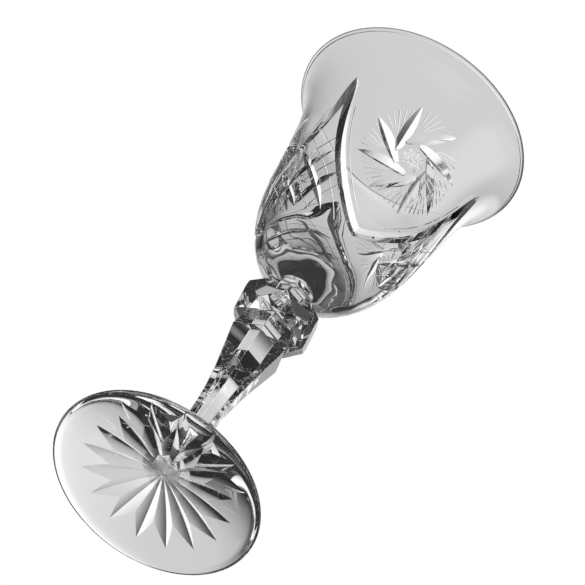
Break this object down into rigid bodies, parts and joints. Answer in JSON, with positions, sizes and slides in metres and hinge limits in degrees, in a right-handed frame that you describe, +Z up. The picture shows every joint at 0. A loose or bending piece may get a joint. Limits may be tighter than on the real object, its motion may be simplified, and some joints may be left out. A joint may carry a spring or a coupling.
{
  "type": "liqueur glass",
  "caption": "Clear cut-crystal liqueur glass: flared bell bowl with pinwheel panels and hatched petals on a faceted knop, six-sided stem and round star-cut foot.",
  "frame": {"origin": "middle of the circle that the foot stands on", "axes": "+Z up along the axis of the glass, from the foot to the rim; one pinwheel panel of the bowl faces -Y"},
  "size_m": [0.0515, 0.0514, 0.1257],
  "materials": {
    "foot_crystal": "clear lead crystal, fire polished, with a polished star cut underneath",
    "stem_crystal": "clear lead crystal, cut and polished faces",
    "knop_crystal": "clear lead crystal, cut and polished facets",
    "neck_crystal": "clear lead crystal, cut and polished faces",
    "bowl_crystal": "clear lead crystal, blown and fire polished, with polished mitre cuts"
  },
  "bodies": {
    "root": {"foot": "foot_crystal", "stem": "stem_crystal", "knop": "knop_crystal", "neck": "neck_crystal", "bowl": "bowl_crystal"}
  },
  "joints": []
}
